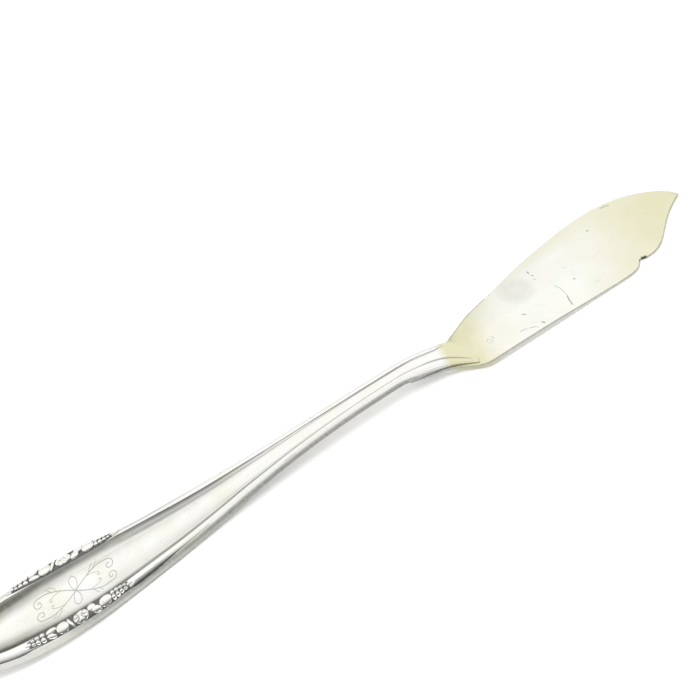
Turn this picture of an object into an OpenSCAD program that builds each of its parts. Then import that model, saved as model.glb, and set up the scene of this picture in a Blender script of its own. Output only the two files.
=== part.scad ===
// Flat-handled fish knife, lying face up on a table, in millimetres.
// X runs from the handle end to the blade's tip, Y towards the cutting edge, Z up.
// The handle is even about its axis as far as the neck, and the spine side has negative Y.

/* [Handle] */
// Length from the handle end to the blade's shoulder
handle_l = 141; // [130:1:155]
// Full width of the handle at its widest, across the base
handle_w = 19.1; // [17.5:0.1:20.5]
// How far the base spreads beyond the foot of a rim
base_flare = 0.3; // [0:0.05:0.4]
// Full width of the neck across both rims
neck_w = 4.6; // [4.2:0.1:5.2]
// Thickness from rim to underside at the widest part
handle_t = 3.3; // [3:0.1:3.8]
// Thickness from rim to underside at the neck
neck_t = 2.65; // [2.4:0.05:3]
// Depth of the sunk panel below the rims
panel_depth = 1.2; // [0.9:0.05:1.4]
// Depth of the groove between the rims at the neck
neck_groove = 0.35; // [0.25:0.05:0.5]
// Clear height of the arch under the neck
arch_h = 2.85; // [2.2:0.05:3.6]
// Rise of the handle end above the table
end_rise = 4.2; // [3:0.1:5]
// Length of the rounding at the handle end
end_round_l = 6; // [4:0.25:8]
// How far the top and the underside curve in at the handle end
end_soft_t = 0.6; // [0.3:0.05:0.8]

/* [Rims] */
// Width of a rim at the ornament
rim_w = 2.65; // [2.4:0.05:2.9]
// Width of a rim at the neck
neck_rim_w = 1.15; // [1:0.05:1.25]
// Height of a rim above its seat along the shank
rim_h = 1.6; // [1.4:0.05:1.7]
// Height of a rim above its seat under the ornament
ornament_rim_h = 0.75; // [0.6:0.05:0.9]
// Width of the cove between panel and rim on the handle
cove_w = 1.2; // [0.9:0.05:1.4]
// Width of the cove between panel and rim at the neck
neck_cove_w = 0.35; // [0.25:0.05:0.45]

/* [Bead borders] */
// Length of a border along the handle
border_l = 30; // [26:0.5:32]
// Distance from the handle end to the middle of the borders
border_x = 41; // [38:0.5:44]
// Margin of bare rim beside a border at its middle
border_margin = 0.2; // [0.18:0.01:0.35]
// Thickness of the ground that the beads stand on
border_ground_t = 0.12; // [0.1:0.01:0.2]
// Height of the largest bead above the ground
bead_h = 0.5; // [0.35:0.05:0.6]

/* [Blade] */
// Length from the shoulder to the tip
blade_l = 59; // [52:1:68]
// Reach of the cutting edge from the knife's axis
edge_reach = 12; // [10.5:0.25:13.5]
// Reach of the spine from the knife's axis
spine_reach = 8.25; // [7.75:0.05:8.5]
// Distance of the tip from the axis, towards the cutting edge
tip_rise = 3; // [1.5:0.25:4]
// Depth of the notch in the spine
notch_depth = 2.2; // [1.5:0.1:2.6]
// Thickness of the spine at the heel
spine_t = 1.7; // [1.5:0.05:2]
// Thickness of the blade at the tip
tip_t = 0.55; // [0.5:0.05:0.8]
// Thickness of the cutting edge
edge_t = 0.35; // [0.25:0.05:0.45]
// Half breadth of the shoulder where the blade begins
shoulder_reach = 1.7; // [1.5:0.05:1.9]
// Width of the flat land along the spine
spine_land = 0.8; // [0.5:0.1:1.2]

/* [Neck joint] */
// Length of the root, from the neck to the heel
root_l = 19; // [17:0.5:21]
// Distance from the shoulder to the heel
heel_l = 7.8; // [6.5:0.1:8.5]
// Thickness of the silver solder in the lap
solder_t = 0.1; // [0.06:0.01:0.15]
// Width of the ledge outside the spine side rim at the heel
ledge_w = 0.8; // [0.5:0.1:1.1]

/* [Hidden] */

// Colours
silver = [0.80, 0.80, 0.77];
bright_silver = [0.90, 0.90, 0.87];
oxidised_silver = [0.55, 0.55, 0.52];
gold_wash = [0.88, 0.84, 0.64];
solder_grey = [0.66, 0.66, 0.62];

// Sides of the axis
EDGE = "edge";
SPINE = "spine";

// Places along the knife
heel_x = handle_l + heel_l;
neck_x = heel_x - root_l;
knife_l = handle_l + blade_l;
low_reach = max(handle_w / 2, spine_reach);
middle_y = (edge_reach - low_reach) / 2;
neck_half = neck_w / 2;

// Small sizes
feather_t = 0.06;        // thinnest metal at the tongue's end
feather_w = 0.15;        // narrow margin beside a rim or along the tongue
mitre_gap = 0.1;         // half gap between the rims where they meet at the handle end
joint_gap = 0.05;        // gap between the tongue's side and the blade's face
joint_run_w = 0.6;       // bare breadth over which the blade's face comes up beside the tongue
border_seat = 0.03;      // solder film under a bead border
solder_inset = 0.08;     // margin of the solder inside the lap
tip_flat = 0.24;         // blunt width of the tip

// Shares along the root where the lap, the edge side rim and the tongue end
lap_share = 0.06;
edge_rim_fade_share = 0.36;
edge_rim_end_share = 0.6;
tongue_end_share = 0.88;
// Share of the handle's half width left at the very end
end_flat_share = 0.14;

// Handle tables, from the end (0) to the neck (1).  Each value is a share between the neck's size (0)
// and the handle's size (1), or a share of the height that it bends.
swell_shares = [[0, 0.08], [0.04, 0.26], [0.08, 0.45], [0.13, 0.68], [0.195, 0.925], [0.27, 1], [0.33, 0.97],
                [0.4, 0.865], [0.5, 0.66], [0.6, 0.425], [0.7, 0.225], [0.8, 0.095], [0.9, 0.025], [1, 0]];
rim_shares = [[0, 0.6], [0.13, 0.75], [0.25, 1], [0.33, 0.95], [0.4, 0.72], [0.5, 0.47], [0.6, 0.2],
              [0.7, 0.04], [0.8, 0], [1, 0]];
sunk_shares = [[0, 0], [0.015, 0.3], [0.04, 0.85], [0.07, 1], [0.5, 1], [0.6, 0.75], [0.7, 0.3],
               [0.8, 0.05], [0.9, 0], [1, 0]];
thick_shares = [[0, 0.2], [0.1, 0.6], [0.25, 1], [0.33, 1], [0.4, 0.8], [0.5, 0.45], [0.65, 0.3],
                [0.75, 0], [1, 0]];
arch_shares = [[0, 0], [0.42, 0], [0.52, 0.02], [0.6, 0.15], [0.7, 0.53], [0.78, 0.81], [0.86, 0.96],
               [0.93, 1], [1, 0.95]];
rise_shares = [[0, 1], [0.06, 0.85], [0.13, 0.63], [0.19, 0.44], [0.25, 0.24], [0.31, 0.08],
               [0.38, 0], [1, 0]];
base_full_shares = [[0, 1], [0.5, 1], [0.58, 0.93], [0.64, 0.7], [0.675, 0.35], [0.72, 0], [1, 0]];
rim_height_shares = [[0, 0], [0.28, 0], [0.34, 0.15], [0.4, 0.6], [0.47, 0.9], [0.55, 1], [0.75, 1],
                     [0.9, 0.75], [1, 0.6]];

// Root tables, from the neck (0) to the heel (1)
crest_fall_shares = [[0, 0.95], [0.1, 0.965], [0.2, 0.93], [0.3, 0.84], [0.4, 0.69], [0.5, 0.53],
                     [0.6, 0.37], [0.7, 0.23], [0.8, 0.115], [0.88, 0.02], [1, 0]];
under_fall_shares = [[0, 0.95], [0.1, 0.85], [0.2, 0.7], [0.3, 0.54], [0.4, 0.37], [0.5, 0.23],
                     [0.6, 0.12], [0.7, 0.04], [0.8, 0], [1, 0]];
lap_height_shares = [[0, 0.1], [0.1, 0.2], [0.3, 0.41], [0.5, 0.6], [0.7, 0.75], [0.88, 0.85], [1, 0.86]];
heel_sweep_shares = [[0, 0], [0.1, 0.08], [0.25, 0.2], [0.4, 0.28], [0.52, 0.37], [0.64, 0.5],
                     [0.76, 0.7], [0.88, 0.89], [0.96, 0.985], [1, 1]];
spine_rim_root_shares = [[0, 1], [0.2, 1.4], [0.31, 1.6], [0.47, 1.72], [0.58, 1.68], [0.7, 1.3],
                         [0.84, 0.85], [1, 0.3]];
edge_rim_root_shares = [[0, 1], [0.3, 0.87], [0.5, 0.75], [0.6, 0.4], [1, 0.1]];
rim_root_height_shares = [[0, 0.6], [0.3, 0.62], [0.6, 0.5], [0.8, 0.3], [1, 0.2]];
tongue_w_shares = [[0, 3], [0.5, 1.5], [0.62, 1.02], [0.72, 0.85], [0.8, 0.66], [0.88, 0.42], [1, 0.1]];

// Places along the blade, from the shoulder (0) to the tip (1)
widest_share = 0.65;
notch_start_share = 0.7;
notch_share = 0.769;
land_run_share = 0.06;
// Most of the blade's breadth that the land along the spine may take
land_limit_share = 0.33;

// Blade outline tables, each over its own stretch: the cutting edge from shoulder to widest place, then to
// the tip, the curve into the notch, and the back edge from the notch to the tip
edge_shares = [[0, 0], [0.055, 0.11], [0.11, 0.26], [0.17, 0.39], [0.26, 0.5], [0.385, 0.625],
               [0.51, 0.76], [0.615, 0.845], [0.77, 0.935], [0.89, 0.985], [1, 1]];
point_shares = [[0, 1], [0.2, 0.96], [0.4, 0.86], [0.6, 0.69], [0.715, 0.55], [0.83, 0.385],
                [0.93, 0.2], [1, 0]];
notch_curve_shares = [[0, 0], [0.435, 0.05], [0.725, 0.22], [0.9, 0.55], [1, 1]];
back_shares = [[0, 0], [0.09, -0.045], [0.18, -0.055], [0.285, -0.035], [0.36, 0.01], [0.44, 0.1],
               [0.5, 0.22], [0.61, 0.46], [0.7, 0.63], [0.785, 0.765], [0.87, 0.86], [1, 1]];

// Blade thickness tables, from the shoulder (0) to the tip (1)
spine_thick_shares = [[0, 1], [0.25, 0.99], [0.42, 0.8], [0.55, 0.4], [0.7, 0.12], [1, 0]];
edge_thick_shares = [[0, 0.85], [0.07, 0.6], [0.17, 0.33], [0.26, 0.17], [0.4, 0.03], [0.5, 0], [1, 0]];
// Power of its share by which the blade's face bows down to its edge
face_bow_share = 1.25;

// Rim section from its outer foot (1) to the groove (0), as shares of its width and height
round_section_shares = [[1, 0], [1, 0.32], [0.93, 0.66], [0.78, 0.9], [0.52, 1.04], [0.24, 1.02], [0, 0.82]];
flat_section_shares = [[1, 0], [1, 0.34], [0.985, 0.58], [0.94, 0.72], [0.5, 1], [0.06, 0.98], [0, 0.8]];
// Cove section from the groove (0) to the panel (1)
cove_section_shares = [[0.3, 0.5], [0.65, 0.16]];

// Base section from the foot of a rim (1) to the middle of the underside (0), as shares of the half width,
// of the flank's height and of the flare: rounded on the shank and full on the handle
round_base_shares = [[1, 1, 0], [0.985, 0.55, 0], [0.93, 0.25, 0], [0.8, 0.07, 0], [0.55, 0, 0], [0, 0, 0]];
full_base_shares = [[1, 1, 0], [1, 0.55, 0.6], [1, 0.14, 1], [0.99, 0.035, 0.7], [0.94, 0, 0], [0, 0, 0]];

// Beads of one half border: place along, place across, reach along, reach across and height, as shares of
// half its length, its local half width, the same two again, and the bead height
bead_shares = [
    [0, 0, 0.055, 0.38, 1], [0.085, 0.48, 0.05, 0.36, 0.85], [0.085, -0.48, 0.05, 0.36, 0.85],
    [0, 0.7, 0.045, 0.27, 0.7], [0, -0.7, 0.045, 0.27, 0.7],
    [0.18, 0, 0.045, 0.3, 0.7], [0.235, 0.48, 0.055, 0.42, 0.85], [0.235, -0.48, 0.055, 0.42, 0.85],
    [0.41, 0, 0.09, 0.82, 1],
    [0.57, 0.42, 0.06, 0.42, 0.85], [0.57, -0.42, 0.06, 0.42, 0.85],
    [0.675, 0.42, 0.034, 0.4, 0.75], [0.675, -0.42, 0.034, 0.4, 0.75],
    [0.75, 0.42, 0.032, 0.4, 0.7], [0.75, -0.42, 0.032, 0.4, 0.7],
    [0.825, 0, 0.034, 0.66, 0.65], [0.89, 0, 0.028, 0.6, 0.55], [0.945, 0, 0.022, 0.55, 0.45]];
// Share of a border's length over which the rim turns from round to flat at each end
flat_run_share = 0.12;
// Power of the share by which a border's outline bows: 2 is an ellipse, and more is fuller
border_bow_share = 2.6;

// How finely the forms are cut
HANDLE_RINGS = 56;
END_RINGS = 9;
ROOT_RINGS = 18;
BLADE_RINGS = 36;
NOTCH_RINGS = 6;
BACK_RINGS = 16;
BORDER_RINGS = 96;
BORDER_CELLS = 8;
FACE_CELLS = 6;

// Plain helpers
function mix(a, b, t) = a + (b - a) * t;
function clamp(x, low, high) = min(max(x, low), high);
function part_of(x, low, high) = clamp((x - low) / (high - low), 0, 1);

// A smooth curve through a table of [place, value] that never overshoots it
function gap_of(tab, x, i = 0) = i >= len(tab) - 2 || x < tab[i + 1][0] ? i : gap_of(tab, x, i + 1);
function rise_of(tab, i) = (tab[i + 1][1] - tab[i][1]) / (tab[i + 1][0] - tab[i][0]);
function slope_of(tab, i) =
    i == 0 ? rise_of(tab, 0)
    : i == len(tab) - 1 ? rise_of(tab, i - 1)
    : rise_of(tab, i - 1) * rise_of(tab, i) <= 0 ? 0
    : 2 * rise_of(tab, i - 1) * rise_of(tab, i) / (rise_of(tab, i - 1) + rise_of(tab, i));
function curve(tab, x) =
    let (i = gap_of(tab, x), w = tab[i + 1][0] - tab[i][0], t = part_of(x, tab[i][0], tab[i + 1][0]))
    (2 * t ^ 3 - 3 * t ^ 2 + 1) * tab[i][1] + (t ^ 3 - 2 * t ^ 2 + t) * w * slope_of(tab, i)
    + (3 * t ^ 2 - 2 * t ^ 3) * tab[i + 1][1] + (t ^ 3 - t ^ 2) * w * slope_of(tab, i + 1);

// The way that a side lies from the axis
function way(side) = side == EDGE ? 1 : -1;

// Shares along the handle, the root and the blade
function along(x) = x / neck_x;
function root(x) = (x - neck_x) / root_l;
function down(x) = (x - handle_l) / blade_l;
function in_root(x) = x > neck_x;
function in_lap(x) = x > lap_x;

// Heights along the knife
function thick(x) =
    in_root(x) ? mix(neck_t, spine_t, root(x)) : mix(neck_t, handle_t, curve(thick_shares, along(x)));
function under_z(x) =
    x >= heel_x ? 0
    : in_root(x) ? arch_h * curve(under_fall_shares, root(x))
    : arch_h * curve(arch_shares, along(x)) + end_rise * curve(rise_shares, along(x))
    + end_soft_t * (1 - end_rounding(x));
function crest_z(x) =
    in_root(x) ? thick(x) + arch_h * curve(crest_fall_shares, root(x))
    : under_z(x) + thick(x) - 2 * end_soft_t * (1 - end_rounding(x));
function panel_drop(x) =
    in_root(x) ? neck_groove * (1 - clamp(root(x), 0, 1))
    : mix(neck_groove, panel_depth, curve(sunk_shares, along(x)));
function lap_z(x) = mix(under_z(x), crest_z(x), curve(lap_height_shares, root(x)));
function rim_rise(x) =
    in_root(x) ? rim_h * curve(rim_root_height_shares, root(x))
    : mix(ornament_rim_h, rim_h, curve(rim_height_shares, along(x)));
function over_lap(x, z) = in_lap(x) ? max(lap_z(x) + solder_t + feather_t, z) : z;
function panel_z(x) = over_lap(x, crest_z(x) - panel_drop(x));

// Where the edge side rim dies out, its top comes down to the panel and its seat comes up to it
function fade(x, side) = side == SPINE ? 0 : part_of(x, edge_rim_fade_x, edge_rim_end_x);
function seat_z(x, side) =
    mix(over_lap(x, crest_z(x) - rim_rise(x)), panel_z(x) - feather_t, fade(x, side));
function top_z(x, side) = mix(crest_z(x), panel_z(x) + feather_t, fade(x, side));

// The lap between tongue and tang
lap_x = neck_x + lap_share * root_l;
tang_x = lap_x + 2 * solder_t;
tongue_end_x = neck_x + tongue_end_share * root_l;
edge_rim_fade_x = neck_x + edge_rim_fade_share * root_l;
edge_rim_end_x = neck_x + edge_rim_end_share * root_l;

// Reaches from the axis, each a positive length on its own side
function end_rounding(x) =
    x >= end_round_l ? 1 : end_flat_share + (1 - end_flat_share) * sqrt(1 - (1 - x / end_round_l) ^ 2);
function half_w(x) =
    mix(neck_half, handle_w / 2 - base_flare, curve(swell_shares, along(x))) * end_rounding(x);
function spine_y(x) = mix(neck_half, spine_reach, curve(heel_sweep_shares, root(x)));
function shoulder_y(x) = mix(neck_half, shoulder_reach, part_of(x, neck_x, handle_l));
function rim_breadth(x, side) =
    !in_root(x) ? mix(neck_rim_w, rim_w, curve(rim_shares, along(x)))
    : neck_rim_w * curve(side == SPINE ? spine_rim_root_shares : edge_rim_root_shares, root(x));
function cove(x) = in_root(x) ? neck_cove_w : mix(neck_cove_w, cove_w, curve(sunk_shares, along(x)));
function tongue_edge(x) = curve(tongue_w_shares, root(x)) * neck_w - foot_y(x, SPINE);
function outer_y(x, side) =
    !in_root(x) ? half_w(x)
    : side == SPINE ? spine_y(x) - ledge_w * root(x)
    : min(shoulder_y(x), tongue_edge(x));
function groove_y(x, side) =
    max(outer_y(x, side) - rim_breadth(x, side), in_root(x) ? -spine_reach : mitre_gap + feather_w);
function foot_y(x, side) =
    side == EDGE && x > edge_rim_end_x ? outer_y(x, side) - feather_w
    : max(groove_y(x, side) - cove(x), in_root(x) ? -spine_reach : mitre_gap);

// Places of the rings along the knife
function spread(low, high, count) = [for (i = [0:count]) mix(low, high, i / count)];
function without_last(list) = [for (i = [0:len(list) - 2]) list[i]];
end_rings = [for (i = [0:END_RINGS]) end_round_l * (1 - cos(90 * i / END_RINGS))];
handle_rings = concat(without_last(end_rings), without_last(spread(end_round_l, neck_x, HANDLE_RINGS)),
                      [neck_x, lap_x]);
lap_rings = spread(tang_x, tongue_end_x, ROOT_RINGS);
edge_rim_rings = [for (x = lap_rings) if (x <= edge_rim_end_x) x];
blank_rings = concat(handle_rings, lap_rings);
widest_x = handle_l + widest_share * blade_l;
notch_start_x = handle_l + notch_start_share * blade_l;
notch_x = handle_l + notch_share * blade_l;
blade_rings = concat(lap_rings, without_last(spread(tongue_end_x + joint_gap, notch_start_x, BLADE_RINGS)),
                     without_last(spread(notch_start_x, notch_x, NOTCH_RINGS)),
                     spread(notch_x, knife_l, BACK_RINGS));

// Joins rings of points, each counter-clockwise seen from the tip, into one closed solid, with a fan of
// faces about the middle of each end.  cross picks the other diagonal of every four-sided cell, so that
// neighbours share theirs.
function middle(ring) =
    [for (j = [0:2]) let (values = [for (p = ring) p[j]]) mix(min(values), max(values), 1 / 2)];
module loft(rings, cross = false) {
    n = len(rings[0]);
    last = len(rings) - 1;
    first_middle = len(rings) * n;
    sides = [for (i = [0:last - 1], k = [0:n - 1])
        let (a = i * n + k, b = i * n + (k + 1) % n, c = b + n, d = a + n)
        each cross ? [[a, d, b], [b, d, c]] : [[a, d, c], [a, c, b]]];
    fans = [for (k = [0:n - 1]) let (a = k, b = (k + 1) % n)
        each [[first_middle, a, b], [first_middle + 1, last * n + b, last * n + a]]];
    points = concat([for (ring = rings) each ring], [middle(rings[0]), middle(rings[last])]);
    polyhedron(points = points, faces = concat(sides, fans));
}

// Moves the knife from its drawing place to the row's own frame
module placed() {
    translate([-knife_l / 2, -middle_y, 0]) children();
}

// Handle blank
BASE_POINTS = len(round_base_shares);
function fullness(x) = curve(base_full_shares, along(x)) * end_rounding(x);
function base_point(x, k, side) =
    let (p = mix(round_base_shares[k], full_base_shares[k], fullness(x)), low = under_z(x))
    [x, way(side) * (outer_y(x, side) * p[0] + base_flare * fullness(x) * p[2]),
     mix(low, seat_z(x, side), p[1])];
function under_ring(x) =
    concat([for (k = [0:BASE_POINTS - 1]) base_point(x, k, SPINE)],
           [for (k = [BASE_POINTS - 2:-1:0]) base_point(x, k, EDGE)]);
function lap_ring(x) =
    let (a = outer_y(x, SPINE), b = outer_y(x, EDGE), cells = 2 * (BASE_POINTS - 2))
    concat([[x, -a, seat_z(x, SPINE)]],
           [for (k = [0:cells]) [x, mix(-a, b, k / cells), lap_z(x) + solder_t]],
           [[x, b, seat_z(x, EDGE)]]);
function blank_ring(x, lapped) =
    concat(lapped ? lap_ring(x) : under_ring(x),
           [[x, foot_y(x, EDGE), panel_z(x)],
            [x, (foot_y(x, EDGE) - foot_y(x, SPINE)) / 2, panel_z(x)],
            [x, -foot_y(x, SPINE), panel_z(x)]]);

module handle_blank() {
    color(silver) placed() loft([for (x = blank_rings) blank_ring(x, in_lap(x))]);
}

// Rims
function flatness(x) =
    clamp(((border_l / 2) - abs(x - border_x)) / (border_l * flat_run_share), 0, 1);
function section_point(x, k) =
    [for (j = [0, 1]) mix(round_section_shares[k][j], flat_section_shares[k][j], flatness(x))];
function rim_ring(x, side) =
    let (a = groove_y(x, side), w = outer_y(x, side) - a, low = seat_z(x, side), h = top_z(x, side) - low,
         foot = foot_y(x, side), section = [for (k = [0:len(round_section_shares) - 1]) section_point(x, k)],
         bank = [for (p = section) [a + w * p[0], low + h * p[1]]],
         hollow = [for (p = cove_section_shares)
             [mix(a, foot, p[0]), mix(panel_z(x), bank[len(bank) - 1][1], p[1])]],
         full = [for (p = concat([[foot, panel_z(x)]], bank, hollow)) [x, way(side) * p[0], p[1]]])
    side == EDGE ? full : [for (k = [len(full):-1:1]) full[k % len(full)]];

module rim(rings, side) {
    color(bright_silver) placed() loft([for (x = rings) rim_ring(x, side)], cross = true);
}
module spine_side_rim() { rim(blank_rings, SPINE); }
module edge_side_rim() { rim(concat(handle_rings, edge_rim_rings), EDGE); }

// Bead borders
function lens(x) = sqrt(max(1 - (abs(x - border_x) * 2 / border_l) ^ border_bow_share, 0));
function border_half(x) = max((rim_breadth(border_x, EDGE) / 2 - border_margin) * lens(x), feather_w);
function rim_top_z(x, share) =
    let (h = rim_rise(x), tab = [for (k = [5, 4, 3]) section_point(x, k)],
         i = share < tab[1][0] ? 0 : 1,
         t = (share - tab[i][0]) / (tab[i + 1][0] - tab[i][0]))
    seat_z(x, SPINE) + h * mix(tab[i][1], tab[i + 1][1], t);
function dome(p, q, b) =
    let (r = 1 - ((abs(p) - b[0]) / b[2]) ^ 2 - ((q - b[1]) / b[3]) ^ 2) r <= 0 ? 0 : b[4] * sqrt(r);
function bead_z(x, q) = bead_h * max([for (b = bead_shares) dome((x - border_x) * 2 / border_l, q, b)]);
function border_ring(x, side) =
    let (a = groove_y(x, side), w = outer_y(x, side) - a, mid_y = a + w * section_point(x, 4)[0],
         half_y = border_half(x),
         under = [for (q = [-1, 0, 1]) let (y = mid_y + q * half_y)
             [y, rim_top_z(x, (y - a) / w) + border_seat]],
         top = [for (k = [BORDER_CELLS:-1:0])
             let (q = k * 2 / BORDER_CELLS - 1, y = mid_y + q * half_y,
                  base = rim_top_z(x, (y - a) / w) + border_seat + border_ground_t)
             [y, base + bead_z(x, q)]],
         full = [for (p = concat(under, top)) [x, way(side) * p[0], p[1]]])
    side == EDGE ? full : [for (k = [len(full) - 1:-1:0]) full[k]];

module bead_border(side) {
    reach = border_l / 2;
    color(oxidised_silver) placed()
        loft([for (x = spread(border_x - reach, border_x + reach, BORDER_RINGS)) border_ring(x, side)]);
}
module spine_side_bead_border() { bead_border(SPINE); }
module edge_side_bead_border() { bead_border(EDGE); }

// Blade
notch_reach = spine_reach - notch_depth;
function blade_low_y(x) =
    x < heel_x ? -spine_y(x)
    : x < notch_x
    ? mix(-spine_reach, -notch_reach, curve(notch_curve_shares, part_of(x, notch_start_x, notch_x)))
    : mix(-notch_reach, tip_rise - tip_flat / 2, curve(back_shares, part_of(x, notch_x, knife_l)));
function blade_high_y(x) =
    x < handle_l ? shoulder_y(x)
    : x < widest_x ? mix(shoulder_reach, edge_reach, curve(edge_shares, part_of(x, handle_l, widest_x)))
    : mix(tip_rise + tip_flat / 2, edge_reach, curve(point_shares, part_of(x, widest_x, knife_l)));
// How much of the root's face is bare beside the tongue: none where the tongue covers it
function bare(x) =
    x > tongue_end_x ? 1 : part_of(blade_high_y(x) - outer_y(x, EDGE) - joint_gap, 0, joint_run_w);
function face_z(x) =
    x <= tongue_end_x ? mix(lap_z(x), panel_z(x), bare(x))
    : x < heel_x ? mix(panel_z(tongue_end_x), spine_t, part_of(x, tongue_end_x, heel_x))
    : mix(tip_t, spine_t, curve(spine_thick_shares, down(x)));
function edge_z(x) =
    mix(min(edge_t, tip_t), face_z(x), mix(1, curve(edge_thick_shares, down(x)), bare(x)));
function land_y(x) =
    let (low = blade_low_y(x), high = blade_high_y(x),
         narrow = low + min(spine_land, (high - low) * land_limit_share),
         wide = min(outer_y(min(x, tongue_end_x), EDGE) + joint_gap, high - feather_w))
    mix(wide, narrow, part_of(x, tongue_end_x, tongue_end_x + land_run_share * blade_l));
function blade_ring(x) =
    let (low = blade_low_y(x), land = land_y(x), high = blade_high_y(x), top = face_z(x), thin = edge_z(x),
         seat = x <= tongue_end_x ? lap_z(x) : top)
    concat([[x, low, under_z(x)], [x, high, under_z(x)]],
           [for (k = [FACE_CELLS:-1:0]) let (g = k / FACE_CELLS)
               [x, mix(land, high, g), mix(top, thin, g ^ face_bow_share)]],
           [[x, land - joint_gap / 2, seat], [x, low, seat]]);

module blade() {
    color(gold_wash) placed() loft([for (x = blade_rings) blade_ring(x)]);
}

// Solder in the lap
function solder_ring(x) =
    let (a = -outer_y(x, SPINE) + solder_inset, b = outer_y(x, EDGE) - solder_inset, low = lap_z(x))
    [[x, a, low], [x, b, low], [x, b, low + solder_t], [x, a, low + solder_t]];

module neck_solder() {
    color(solder_grey) placed() loft([for (x = lap_rings) solder_ring(x)]);
}

handle_blank();
spine_side_rim();
edge_side_rim();
spine_side_bead_border();
edge_side_bead_border();
blade();
neck_solder();
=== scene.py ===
import math

import bpy
import numpy as np
from mathutils import Matrix, Vector


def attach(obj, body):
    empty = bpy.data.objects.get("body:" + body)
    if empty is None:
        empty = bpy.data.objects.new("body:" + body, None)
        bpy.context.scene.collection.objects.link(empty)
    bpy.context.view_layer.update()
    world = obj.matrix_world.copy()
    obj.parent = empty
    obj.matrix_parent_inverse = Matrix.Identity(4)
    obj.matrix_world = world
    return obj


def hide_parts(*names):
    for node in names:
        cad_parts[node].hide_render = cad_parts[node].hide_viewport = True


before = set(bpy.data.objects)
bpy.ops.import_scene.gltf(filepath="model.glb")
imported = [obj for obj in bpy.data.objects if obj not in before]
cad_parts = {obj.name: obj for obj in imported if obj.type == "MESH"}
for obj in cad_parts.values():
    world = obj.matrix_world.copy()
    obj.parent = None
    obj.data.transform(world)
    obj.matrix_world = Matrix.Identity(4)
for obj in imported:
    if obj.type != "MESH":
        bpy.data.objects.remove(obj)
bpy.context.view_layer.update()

# A flat-handled fish knife, lying face up on a pale table.  Sizes are in millimetres and follow the CAD's own
# names.  X runs from the handle end to the tip, Y towards the cutting edge, Z up.  The drawing starts at the
# handle end, on the handle's axis, and to_frame() moves it to the frame.
MM = 0.001
EDGE, SPINE = "edge", "spine"

# Handle
handle_l = 141
handle_w = 19.1
base_flare = 0.3
neck_w = 4.6
handle_t = 3.3
neck_t = 2.65
panel_depth = 1.2
neck_groove = 0.35
arch_h = 2.85
end_rise = 4.2
end_round_l = 6
end_soft_t = 0.6

# Rims
rim_w = 2.65
neck_rim_w = 1.15
rim_h = 1.6
ornament_rim_h = 0.75
cove_w = 1.2
neck_cove_w = 0.35

# Bead borders
border_l = 30
border_x = 41
border_margin = 0.2
border_ground_t = 0.12
border_seat = 0.03
seen_bead_h = 0.6  # height of the largest bead as it looks
half_border = rim_w / 2 + 0.4 * border_margin  # half the border's width as it looks

# Blade
blade_l = 59
edge_reach = 12
spine_reach = 8.25
tip_rise = 3
tip_flat = 0.24
notch_depth = 2.2
spine_t = 1.7
tip_t = 0.55
edge_t = 0.35
shoulder_reach = 1.7
spine_land = 0.8

# Neck joint
root_l = 19
heel_l = 7.8
solder_t = 0.1
ledge_w = 0.8
feather_t = 0.06
feather_w = 0.15
mitre_gap = 0.1
joint_gap = 0.05
joint_run_w = 0.6
cover_start_x = 138.4  # where the gilt face comes up through the tongue
cover_end_x = 141.2

# Places along the knife
heel_x = handle_l + heel_l
neck_x = heel_x - root_l
knife_l = handle_l + blade_l
middle_y = (edge_reach - max(handle_w / 2, spine_reach)) / 2
lap_x = neck_x + 0.06 * root_l
tang_x = lap_x + 2 * solder_t
tongue_end_x = neck_x + 0.88 * root_l
rim_fade_x = neck_x + 0.36 * root_l
rim_end_x = neck_x + 0.6 * root_l
widest_x = handle_l + 0.65 * blade_l
notch_start_x = handle_l + 0.7 * blade_l
notch_x = handle_l + 0.769 * blade_l
end_flat_share = 0.14
land_run_share = 0.06
land_limit_share = 0.33
face_bow_share = 1.25
border_bow_share = 2.6
flat_run_share = 0.12

# Share tables, the same as the CAD's
swell_shares = [
    [0, 0.08], [0.04, 0.26], [0.08, 0.45], [0.13, 0.68], [0.195, 0.925], [0.27, 1], [0.33, 0.97],
    [0.4, 0.865], [0.5, 0.66], [0.6, 0.425], [0.7, 0.225], [0.8, 0.095], [0.9, 0.025], [1, 0]]
rim_shares = [
    [0, 0.6], [0.13, 0.75], [0.25, 1], [0.33, 0.95], [0.4, 0.72], [0.5, 0.47], [0.6, 0.2], [0.7, 0.04],
    [0.8, 0], [1, 0]]
sunk_shares = [
    [0, 0], [0.015, 0.3], [0.04, 0.85], [0.07, 1], [0.5, 1], [0.6, 0.75], [0.7, 0.3], [0.8, 0.05], [0.9, 0],
    [1, 0]]
thick_shares = [
    [0, 0.2], [0.1, 0.6], [0.25, 1], [0.33, 1], [0.4, 0.8], [0.5, 0.45], [0.65, 0.3], [0.75, 0], [1, 0]]
arch_shares = [
    [0, 0], [0.42, 0], [0.52, 0.02], [0.6, 0.15], [0.7, 0.53], [0.78, 0.81], [0.86, 0.96], [0.93, 1],
    [1, 0.95]]
rise_shares = [
    [0, 1], [0.06, 0.85], [0.13, 0.63], [0.19, 0.44], [0.25, 0.24], [0.31, 0.08], [0.38, 0], [1, 0]]
base_full_shares = [[0, 1], [0.5, 1], [0.58, 0.93], [0.64, 0.7], [0.675, 0.35], [0.72, 0], [1, 0]]
rim_height_shares = [
    [0, 0], [0.28, 0], [0.34, 0.15], [0.4, 0.6], [0.47, 0.9], [0.55, 1], [0.75, 1], [0.9, 0.75], [1, 0.6]]
crest_fall_shares = [
    [0, 0.95], [0.1, 0.965], [0.2, 0.93], [0.3, 0.84], [0.4, 0.69], [0.5, 0.53], [0.6, 0.37], [0.7, 0.23],
    [0.8, 0.115], [0.88, 0.02], [1, 0]]
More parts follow.
